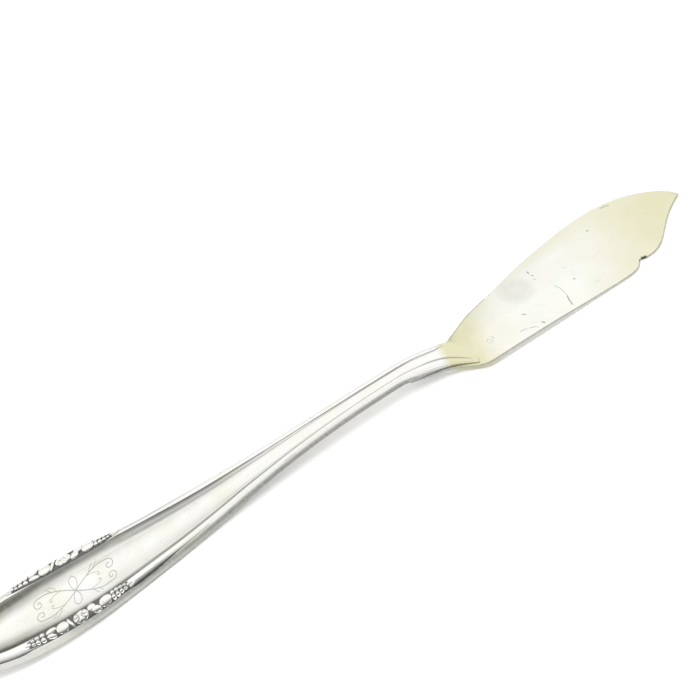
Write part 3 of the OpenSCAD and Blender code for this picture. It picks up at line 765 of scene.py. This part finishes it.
# Wear on the blade, in drawing millimetres: a width, a strength, and the places of a line's points
WEAR = [
    (0.15, 0.6, 167.9, -0.3, 168.9, -1.8, 169.4, -3.4, 169.5, -4.6),
    (0.19, 0.85, 169.5, -4.4, 169.5, -5.6, 169.7, -7), (0.17, 0.65, 157.2, -5.8, 158, -6, 158.8, -6.1),
    (0.18, 0.65, 159.3, -6.4, 160, -6.6, 160.6, -6.9), (0.16, 0.6, 160.8, -7.1, 161.2, -7.4),
    (0.22, 0.8, 162.2, -6.7, 162.5, -6.9, 162.8, -7.3), (0.26, 0.75, 163.9, 6.9, 164.1, 6.3),
    (0.2, 0.7, 164.4, 5.4, 164.8, 5), (0.18, 0.6, 164.6, 4.3, 164.9, 3.6),
    (0.13, 0.3, 164.9, 2.9, 165.6, 2, 165.2, 1.2), (0.2, 0.75, 159.1, -2.3, 159.5, -2.6, 159.9, -2.9),
    (0.26, 0.75, 172.3, -1.4, 172.5, -1.6), (0.2, 0.45, 171.2, 2.9, 171.5, 2.5),
    (0.17, 0.4, 171.7, 2.3, 171.9, 2), (0.14, 0.4, 172.4, 0.9, 173.1, 0.4, 173, -0.4, 172.4, -0.3),
    (0.24, 0.65, 179.3, 7.8, 179.5, 7.4), (0.17, 0.75, 184, 10.85, 185, 10.65, 186, 10.3),
    (0.13, 0.5, 184.4, 11.2, 185.4, 11), (0.2, 0.5, 154.1, 7.5, 154.4, 7.3),
    (0.14, 0.4, 176, -4.6, 176.5, -5.2, 177.3, -5.3), (0.2, 0.35, 164.2, -3.2, 164.4, -3.5),
    (0.2, 0.3, 152.6, 1.6, 153.2, 1.2), (0.2, 0.3, 176, 1.9, 176.4, 1.4),
    (0.2, 0.3, 177.5, 0.7, 177.7, 0.2), (0.1, 0.3, 154, 3, 156.5, 2.2), (0.1, 0.3, 175, -5.6, 179, -4.1),
    (0.1, 0.25, 183, 2, 185.5, 3.6), (0.15, 0.35, 150.4, -5, 150.2, -5.9, 150.6, -6.6),
    (0.15, 0.5, 150.3, -3.2, 150.7, -3.7, 151, -3.4),
]
RING_DENTS = [(150.6, -3.5, 0.78, 0.16, 0.65), (170.8, 5.2, 0.7, 0.14, 0.4), (188.3, 5.1, 0.7, 0.13, 0.3)]
SHOULDER_MARK = (0.25, 0.65)
shoulder_mark_l, shoulder_mark_step, shoulder_mark_inset = 4, 0.5, 0.2


def wear():
    """The strokes of the wear, with small ring-shaped dents and a dark line along the edge's shoulder."""
    strokes = [(np.reshape(places, (-1, 2)), width, strength) for width, strength, *places in WEAR]
    arc, arc_step = 0.7, 0.785
    for x, y, size, width, strength in RING_DENTS:
        for turn in range(8):
            angles = arc_step * turn + np.array([0, arc])
            ends = np.stack([x + size * np.cos(angles), y + size * np.sin(angles)], 1)
            strokes.append((ends, width, strength * (0.75 + 0.25 * math.cos(2.1 * turn))))
    shoulder = np.arange(cover_end_x, heel_x + shoulder_mark_l, shoulder_mark_step)
    inside = blade_high_y(shoulder) - shoulder_mark_inset
    return strokes + [(np.stack([shoulder, inside], 1), *SHOULDER_MARK)]


def blade_stations():
    """Places of the rings on the blade, as a column: close together at its tip."""
    steps = [(tang_x, tongue_end_x, TANG_STEP), (tongue_end_x + joint_gap, notch_x, BLADE_STEP),
             (notch_x, knife_l, TIP_STEP)]
    places = [np.append(np.arange(start, stop - step / 2, step), stop) for start, stop, step in steps]
    return np.unique(np.concatenate(places))[:, None]


def blade():
    def soft(profile, reach=BLADE_EASE_REACH):
        return eased(profile, x, reach, (tang_x, tongue_end_x, notch_x, knife_l))

    x = blade_stations()
    lapped, tongue_x = x <= tongue_end_x, np.minimum(x, tongue_end_x)
    low, high, land = soft(blade_low_y), soft(blade_high_y), soft(land_y, LAND_EASE_REACH)
    bottom, top, thin = soft(under_z), soft(face_z), soft(edge_z)
    # The gilt face comes up through the tongue and covers it as far as the spine side rim
    cover = smooth(part_of(x, cover_start_x, cover_end_x))
    skin, rim_foot = on_handle(panel_z)(x) + skin_t, -on_side(foot_y, SPINE)(tongue_x)
    top = np.where(lapped, mix(np.minimum(top, skin - skin_under_t), skin, cover), top)
    thin = np.where(lapped, mix(np.minimum(thin, skin - skin_under_t), np.minimum(thin, skin), cover), thin)
    land = np.where(lapped, mix(land, rim_foot, cover),
                    mix(rim_foot[-1, 0], land, part_of(x, tongue_end_x, tongue_end_x + land_turn_l)))
    seat = np.where(lapped, soft(lap_z), top)
    # It is level as far as the tongue's side, or the axis beyond the tongue, and then falls to the edge
    edge_corner = np.minimum(edge_corner_w, corner_share * (thin - bottom))
    level_y = np.where(lapped, on_side(outer_y, EDGE)(tongue_x), 0)
    level = np.clip((level_y - land) / (high - edge_corner - land), 0, level_most)
    across = np.linspace(1, 0, FACE_CELLS + 1)
    face_y = mix(land, high - edge_corner, across)
    face = strip(x, face_y, mix(top, thin, part_of(across, level, 1) ** face_bow_share))
    # The walls, from the foot of the spine's wall under the blade to the top of the edge's, and the land
    corner = np.minimum(corner_share * (seat - bottom), land_corner_share * (land - low))
    corner = np.minimum(blade_corner_w, corner)
    belly = smooth(part_of(x, *belly_x))
    foot_w, far_w = mix(corner, belly_reach, belly), mix(edge_corner, belly_reach, belly)
    foot_h = mix(corner, belly_rise_share * (seat - bottom), belly)
    far_h = mix(edge_corner, edge_belly_share * (thin - bottom), belly)
    turn = np.linspace(0, math.pi / 2, ARC_CELLS + 1)
    away, back = 1 - np.cos(turn), 1 - np.sin(turn)
    rings = join(strip(x, low + foot_w * away, bottom + foot_h * back),
                 strip(x, high - far_w * back, bottom + far_h * away),
                 strip(x, high - edge_corner * away, thin - edge_corner * back)[:, :-1], face,
                 strip(x, land - joint_gap / 2, seat),
                 strip(x, low + corner * back, seat - corner * away))
    arc, start = ARC_CELLS + 1, 3 * ARC_CELLS + 2
    rounded = np.linspace(0, 1, arc)
    mark, flank = np.zeros(rings.shape[:2]), np.ones(rings.shape[:2])
    mark[:, start:start + FACE_CELLS + 1] = marks_on(x, face_y, wear())
    # Painted shadow on the notch's wall
    mark[:, -arc:] = part_of(x, *notch_shadow_x) * part_of(x, *notch_shadow_end_x)
    # Painted shade on the walls, lighter at the foot of the spine's wall, and none on the face
    flank[:, :arc] = mix(rounded[::-1], 1, belly) * mix(wall_foot_share, tang_foot_share, belly)
    flank[:, arc:2 * arc] = flank[:, -arc:] = rounded
    flank[:, start:start + FACE_CELLS + 2] = 0
    piece = loft("gilt_blade", rings, mark=mark, flank=flank)
    dress(piece, "blade", GILT)


# Materials
class Tree:
    """The nodes of a material or a world.  An input is a number, a colour or another node's output."""

    def __init__(self, owner):
        owner.use_nodes = True
        self.owner, self.tree = owner, owner.node_tree
        self.tree.nodes.clear()

    def add(self, kind, settings=None, **inputs):
        node = self.tree.nodes.new("ShaderNode" + kind)
        for key, value in (settings or {}).items():
            setattr(node, key, value)
        for key, value in inputs.items():
            self.put(node, key, value)
        return node

    def put(self, node, key, value):
        socket = node.inputs[int(key[1:]) if key[0] == "_" and key[1:].isdigit() else key.replace("_", " ")]
        if isinstance(value, bpy.types.NodeSocket):
            self.tree.links.new(value, socket)
        else:
            socket.default_value = value

    def math(self, operation, a, b=0.0, clamp=False):
        return self.add("Math", {"operation": operation, "use_clamp": clamp}, _0=a, _1=b).outputs[0]

    def plus(self, a, b, clamp=False):
        return self.math("ADD", a, b, clamp)

    def minus(self, a, b):
        return self.math("SUBTRACT", a, b)

    def times(self, a, b, clamp=False):
        return self.math("MULTIPLY", a, b, clamp)

    def spread(self, value, low, high, out_low=0.0, out_high=1.0):
        """The value taken from the range low to high to another range, smoothly and clamped."""
        return self.add("MapRange", {"interpolation_type": "SMOOTHSTEP"}, Value=value,
                        From_Min=low, From_Max=high, To_Min=out_low, To_Max=out_high).outputs[0]

    def mix(self, share, a, b, strength=None):
        share = self.times(share, strength) if strength else share
        node = self.add("Mix", {"data_type": "RGBA"}, _0=share)
        self.put(node, "_6", a if isinstance(a, bpy.types.NodeSocket) else (*a, 1))
        self.put(node, "_7", b if isinstance(b, bpy.types.NodeSocket) else (*b, 1))
        return node.outputs[2]

    def place(self, stretch, turn):
        """Places on the piece in millimetres, turned about Z and stretched."""
        at = self.add("TexCoord").outputs["Object"]
        at = self.add("Mapping", {"vector_type": "TEXTURE"}, Vector=at, Rotation=(0, 0, turn)).outputs[0]
        scale = [part / MM for part in stretch]
        return self.add("VectorMath", {"operation": "MULTIPLY"}, _0=at, _1=scale).outputs[0]

    def noise(self, size, detail=3.0, stretch=(1, 1, 1), turn=0.0):
        """Noise from 0 to 1 with features of about size millimetres."""
        at = self.place(stretch, turn)
        return self.add("TexNoise", Vector=at, Scale=1 / size, Detail=detail, Roughness=0.5).outputs[0]

    def wander(self, size, detail, reach):
        """Noise about 0, up to half of reach on each side."""
        return self.times(self.minus(self.noise(size, detail), 0.5), reach)

    def patches(self, size, detail, low, high, out_low=0.0, out_high=1.0):
        """Soft patches of about size millimetres."""
        return self.spread(self.noise(size, detail), low, high, out_low, out_high)

    def scratches(self, gap, turn, share):
        """Fine straight hairlines in one direction: 1 on a line, 0 between."""
        lines = self.noise(gap, 2.0, (0.03, 1, 1), turn)
        broken = self.noise(9 * gap, 2.0, (0.4, 1, 1), turn + 0.4)
        thin = self.spread(self.math("ABSOLUTE", self.minus(lines, 0.5)), 0.0, 0.012, 1.0, 0.0)
        return self.times(thin, self.spread(broken, 1 - share, 1 - share + 0.06))

    def hairlines(self, *directions):
        """Scratches in three directions, each with its gap, turn and share."""
        first, second, third = (self.scratches(*direction) for direction in directions)
        return self.plus(self.plus(first, second), third, clamp=True)

    def shade(self, name):
        return self.add("Attribute", {"attribute_name": name}).outputs["Fac"]

    def axis(self, letter):
        """The place along one axis of the frame, in drawing millimetres."""
        at = self.add("TexCoord").outputs["Object"]
        value = self.add("SeparateXYZ", _0=at).outputs[letter]
        moved = {"X": knife_l / 2, "Y": middle_y, "Z": 0}[letter]
        return self.plus(self.times(value, 1 / MM), moved)


# Colours, as linear light
BRIGHT_SILVER = (0.93, 0.925, 0.905)
WARM_SILVER = (0.885, 0.875, 0.77)
ROSY_SILVER = (0.91, 0.865, 0.83)
TARNISH = (0.50, 0.49, 0.40)
# Painted shade: on the flanks and the tang's walls, on the blade's walls, and with tarnish in the coves
FLANK_SHADE_GREY = (0.125, 0.13, 0.115)
SPINE_WALL_SHADE_GREY = (0.25, 0.26, 0.23)
RECESS_TARNISH_AND_SHADE = (0.155, 0.155, 0.125)
OXIDE = (0.18, 0.18, 0.18)
PALE_GOLD = (0.91, 0.905, 0.83)
WORN_GOLD = (0.94, 0.94, 0.90)
OLIVE_GOLD = (0.77, 0.745, 0.51)
GREY_GOLD = (0.84, 0.86, 0.78)
ROSY = (0.95, 0.885, 0.84)
GREENISH = (0.885, 0.92, 0.86)
DULL_GREY = (0.70, 0.72, 0.67)
# Scratches, and the painted shadow in the notch
SCRATCH_AND_NOTCH_SHADOW = (0.07, 0.07, 0.065)
TABLE_GREYS = (0.90, 0.90, 0.895), (0.92, 0.92, 0.915)

# Where the looks change, in drawing millimetres
gold_x = (139, 141.4)  # border of the gold wash on the neck
root_olive_x = (155, 145.5)
tip_olive_x = (167, 197)
upper_olive_y = (5.5, 11.5)
oval_middle = (159.9, 4.2)  # a dull oval patch that lies aslant on the blade's face
oval_halves = (5.2, 3.2)
oval_slant = (0.72, 0.69)  # cosine and sine
under_face_z = (0.6, 0.3)


def paint_flank_shade(tree, colour, shade_colour=FLANK_SHADE_GREY):
    """Paints shade on the flanks, where they mirror the shadowed table and the dark side of the room, with
    fine streaks down them.
    """
    streaks = tree.spread(tree.noise(0.3, 3, (1, 0.2, 0.2), 0.3), 0.3, 0.7, 0.86, 1.0)
    return tree.mix(tree.times(tree.shade("flank"), streaks), colour, shade_colour, 0.9)


def paint_recess_tarnish_and_shade(tree, colour):
    """Tarnish that the polishing cloth has left in the coves, with painted shade there too."""
    dark = tree.times(tree.shade("recess"), tree.patches(2.0, 3, 0.25, 0.7, 0.9, 1.0))
    return tree.mix(dark, colour, RECESS_TARNISH_AND_SHADE)


def finish(tree, colour, rough, height, strength):
    """Ends a metal's tree with its colour, roughness and fine relief."""
    bump = tree.add("Bump", Strength=strength, Distance=0.02 * MM, Height=height).outputs[0]
    shader = tree.add("BsdfPrincipled", Metallic=1.0, Base_Color=colour, Roughness=rough, Normal=bump)
    tree.add("OutputMaterial", Surface=shader.outputs[0])
    return tree.owner


def gold(tree):
    """The gold wash: pale in the middle, olive at the root and the tip, worn and greyish in patches."""
    moved = tree.plus(tree.axis("X"), tree.wander(12, 2, 14.0))
    body = tree.mix(tree.patches(16, 1, 0.3, 0.7), WORN_GOLD, PALE_GOLD)
    body = tree.mix(tree.patches(9, 2, 0.4, 0.75), body, GREY_GOLD, 0.5)
    tint = tree.mix(tree.spread(tree.noise(5, 2, (0.6, 1, 1), 0.5), 0.35, 0.65), ROSY, GREENISH)
    ends = tree.plus(tree.spread(moved, *root_olive_x), tree.spread(moved, *tip_olive_x))
    upper = tree.times(tree.spread(tree.axis("Y"), *upper_olive_y), 0.5)
    thin = tree.patches(5, 2, 0.2, 0.7, 0.85, 1.0)
    olive = tree.times(tree.math("MAXIMUM", ends, upper), thin, clamp=True)
    return tree.mix(olive, tree.mix(0.3, body, tint), OLIVE_GOLD)


def gilding(tree):
    """The share of the gold wash, which has a soft border on the neck."""
    return tree.spread(tree.plus(tree.axis("X"), tree.wander(2.2, 3, 2.4)), *gold_x)


def tarnished(tree, worn):
    """Polished silver's colour, with warm patches and specks."""
    warm = tree.mix(tree.patches(10, 2, 0.5, 0.68), WARM_SILVER, ROSY_SILVER)
    colour = tree.mix(tree.patches(7, 3, 0.3, 0.75), BRIGHT_SILVER, warm, worn)
    return tree.mix(tree.patches(1.1, 3, 0.66, 0.78), colour, TARNISH, 0.3)


def silver(name, worn, striations, engraved=False):
    """Polished silver with tarnish, table scratches, painted shade on the flanks and in the coves, and the
    gold wash that reaches over the neck.
    """
    tree = Tree(bpy.data.materials.new(name))
    gilded = gilding(tree)
    colour = tree.mix(gilded, tarnished(tree, worn), gold(tree))
    lines = tree.hairlines((0.5, 0.5, 0.55), (0.7, -0.9, 0.5), (0.45, 1.9, 0.5))
    colour = tree.mix(lines, colour, TARNISH, 0.22)
    colour = paint_recess_tarnish_and_shade(tree, paint_flank_shade(tree, colour))
    relief = tree.plus(tree.noise(1.6, 3), tree.times(lines, -0.5))
    relief = tree.plus(relief, tree.times(tree.noise(0.5, 2.0, (1, 0.12, 0.12)), striations))
    rough = tree.plus(tree.patches(3.0, 3, 0.3, 0.75, 0.15, 0.25), tree.times(lines, 0.12))
    rough = tree.plus(rough, tree.times(gilded, 0.1))
    if engraved:
        cut = tree.spread(tree.shade("cut"), 0.1, 0.7)
        colour = tree.mix(cut, colour, OXIDE, 0.55)
        rough = tree.plus(rough, tree.times(cut, 0.3))
    return finish(tree, colour, rough, relief, 0.35)


def ornament():
    """Polished beads on a dark ground: the height of a bead wipes the oxide away."""
    tree = Tree(bpy.data.materials.new("oxidised_ornament"))
    lift = tree.plus(tree.shade("lift"), tree.wander(0.35, 3, 0.35))
    clean = tree.spread(lift, 0.06, 0.3)
    bead = tree.mix(tree.patches(0.8, 3, 0.4, 0.7), BRIGHT_SILVER, WARM_SILVER)
    rough = tree.spread(clean, 0.0, 1.0, 0.5, 0.16)
    return finish(tree, tree.mix(clean, OXIDE, bead), rough, tree.noise(0.3, 4), 0.5)


def gilt():
    """Gold wash over silver, with scratches, a dulled oval, a soft brushed surface, painted shade on the
    walls and a painted shadow in the notch.
    """
    tree = Tree(bpy.data.materials.new("gilt_silver"))
    colour = tree.mix(gilding(tree), tarnished(tree, 0.8), gold(tree))
    lines = tree.hairlines((0.6, 0.35, 0.5), (0.8, -0.5, 0.5), (0.5, 1.4, 0.45))
    colour = tree.mix(lines, colour, TARNISH, 0.16)
    x, y = (tree.minus(tree.axis(letter), middle) for letter, middle in zip("XY", oval_middle))
    (cosine, sine), (long_half, short_half) = oval_slant, oval_halves
    lengthwise = tree.math("DIVIDE", tree.minus(tree.times(x, cosine), tree.times(y, sine)), long_half)
    crosswise = tree.math("DIVIDE", tree.plus(tree.times(x, sine), tree.times(y, cosine)), short_half)
    away = tree.plus(tree.math("POWER", lengthwise, 2.0), tree.math("POWER", crosswise, 2.0))
    away = tree.plus(away, tree.spread(tree.axis("Z"), *under_face_z, 0.0, 2.0))
    dullness_and_shade = tree.times(tree.spread(away, 1.4, 0.1), tree.patches(1.5, 3, 0.25, 0.7, 0.7, 1.0))
    colour = tree.mix(dullness_and_shade, colour, DULL_GREY, 0.5)
    # Painted shade on the blade's walls, darker at the tang; the marks carry scratches and the painted shadow
    # in the notch
    wall_shade_grey = tree.mix(tree.spread(tree.axis("X"), tang_x, cover_end_x), FLANK_SHADE_GREY, SPINE_WALL_SHADE_GREY)
    mark = tree.spread(tree.shade("mark"), 0.08, 0.92)
    colour = tree.mix(mark, paint_flank_shade(tree, colour, wall_shade_grey), SCRATCH_AND_NOTCH_SHADOW)
    relief = tree.minus(tree.plus(tree.noise(1.8, 3), tree.times(lines, -0.4)), tree.times(mark, 1.5))
    rough = tree.plus(tree.patches(4.0, 2, 0.3, 0.75, 0.28, 0.35), tree.times(dullness_and_shade, 0.1))
    return finish(tree, colour, rough, relief, 0.3)


def solder():
    tree = Tree(bpy.data.materials.new("solder"))
    colour = tree.mix(tree.patches(0.6, 3, 0.35, 0.7), WARM_SILVER, TARNISH)
    return finish(tree, colour, tree.patches(0.4, 3, 0.3, 0.7, 0.3, 0.5), tree.noise(0.25, 3), 0.4)


SILVER = silver("polished_silver", 0.9, 0.3, engraved=True)
RIM_SILVER = silver("rim_silver", 0.5, 1.2)
ORNAMENT = ornament()
GILT = gilt()


# Stage
def table_top():
    tree = Tree(bpy.data.materials.new("table_top"))
    colour = tree.mix(tree.noise(40, 2), *TABLE_GREYS)
    shader = tree.add("BsdfPrincipled", Roughness=0.7, Base_Color=colour)
    tree.add("OutputMaterial", Surface=shader.outputs[0])
    return tree.owner


def table():
    mesh = bpy.data.meshes.new("table")
    reach, drop = 4.0, -0.02 * MM
    corners = [(-reach, -reach, drop), (reach, -reach, drop), (reach, reach, drop), (-reach, reach, drop)]
    mesh.from_pydata(corners, [], [(0, 1, 2, 3)])
    mesh.materials.append(table_top())
    add_object("table", mesh)


# Light of the room by the angle from straight up, in degrees: towards the cutting edge is positive, and the
# dark stretch is the side of the room where the viewer stands
ROOM = [
    (-180, 0.5), (-100, 0.5), (-90, 0.1), (-80, 0.12), (-65, 0.24), (-50, 0.45), (-35, 0.75), (-18, 1.02),
    (-4, 1.12), (12, 1.15), (30, 1.09), (45, 1.05), (64, 0.98), (76, 0.8), (85, 0.42), (92, 0.5), (180, 0.5),
]
ROOM_MOST = 1.15
BACKDROP = (0.6, 0.6, 0.6)

# Lamps: name, place, size and power
LAMPS = [("ceiling_softbox", (0.1, 0.2, 1.3), 0.7, 8), ("front_softbox", (-0.2, -1.1, 0.8), 1.0, 9)]


def room():
    world = bpy.data.worlds.new("room")
    bpy.context.scene.world = world
    tree = Tree(world)
    look = tree.add("SeparateXYZ", _0=tree.add("TexCoord").outputs["Generated"])
    angle = tree.math("ARCTAN2", look.outputs["Y"], look.outputs["Z"])
    ramp = tree.add("ValToRGB", Fac=tree.plus(tree.math("DIVIDE", angle, 2 * math.pi), 0.5))
    stops = ramp.color_ramp.elements
    while len(stops) < len(ROOM):
        stops.new(0.5)
    for stop, (degrees, light) in zip(stops, ROOM):
        stop.position = degrees / 360 + 0.5
        stop.color = (light / ROOM_MOST,) * 3 + (1,)
    seen = tree.add("LightPath").outputs["Is Camera Ray"]
    light = tree.mix(seen, ramp.outputs[0], BACKDROP)
    back = tree.add("Background", Color=light, Strength=ROOM_MOST)
    tree.add("OutputWorld", Surface=back.outputs[0])


def softbox(name, place, size, power):
    """A square lamp that lights the table.  The metal doesn't mirror it, only the room."""
    data = bpy.data.lights.new(name, "AREA")
    data.shape = "SQUARE"
    data.size = size
    data.energy = power
    lamp = add_object(name, data)
    lamp.location = place
    lamp.rotation_euler = Vector(place).to_track_quat("Z", "Y").to_euler()
    lamp.visible_glossy = False


# Camera, fitted to the photograph: its target in drawing millimetres, heading and elevation towards it, and
# roll, distance and focal length in pixels of the 700-pixel frame
FRAME_PIXELS = 700
FOCAL_PIXELS = 2864.4
TARGET = (121.907, 12.876, 4.0)
HEADING, ELEVATION, ROLL = (math.radians(a) for a in (-68.582, 50.7, 140))
DISTANCE = 620


def camera():
    data = bpy.data.cameras.new("camera")
    data.sensor_width = 36
    data.sensor_fit = "HORIZONTAL"
    data.lens = data.sensor_width * FOCAL_PIXELS / FRAME_PIXELS
    data.clip_start, data.clip_end = 0.01, 20
    eye = add_object("camera", data)
    up = Vector((0, 0, 1))
    away = math.cos(ELEVATION) * Vector((math.cos(HEADING), math.sin(HEADING), 0)) + math.sin(ELEVATION) * up
    level_up = (up - away * away.z).normalized()
    level_right = (-away).cross(level_up)
    right = math.cos(ROLL) * level_up + math.sin(ROLL) * level_right
    above = math.sin(ROLL) * level_up - math.cos(ROLL) * level_right
    place = Matrix((right, above, away)).transposed().to_4x4()
    place.translation = Vector(to_frame(np.array(TARGET))) + away * DISTANCE * MM
    eye.matrix_world = place
    bpy.context.scene.camera = eye


camera()
handle_blank()
rim("spine_rim", "spine_side_rim", SPINE)
rim("edge_rim", "edge_side_rim", EDGE)
bead_border("spine_beads", "spine_side_bead_border", SPINE)
bead_border("edge_beads", "edge_side_bead_border", EDGE)
blade()
solder_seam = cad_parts["neck_solder"]
solder_seam.data.materials.clear()
solder_seam.data.materials.append(solder())
table()
room()
for lamp_values in LAMPS:
    softbox(*lamp_values)
bpy.context.scene.view_settings.view_transform = "Standard"
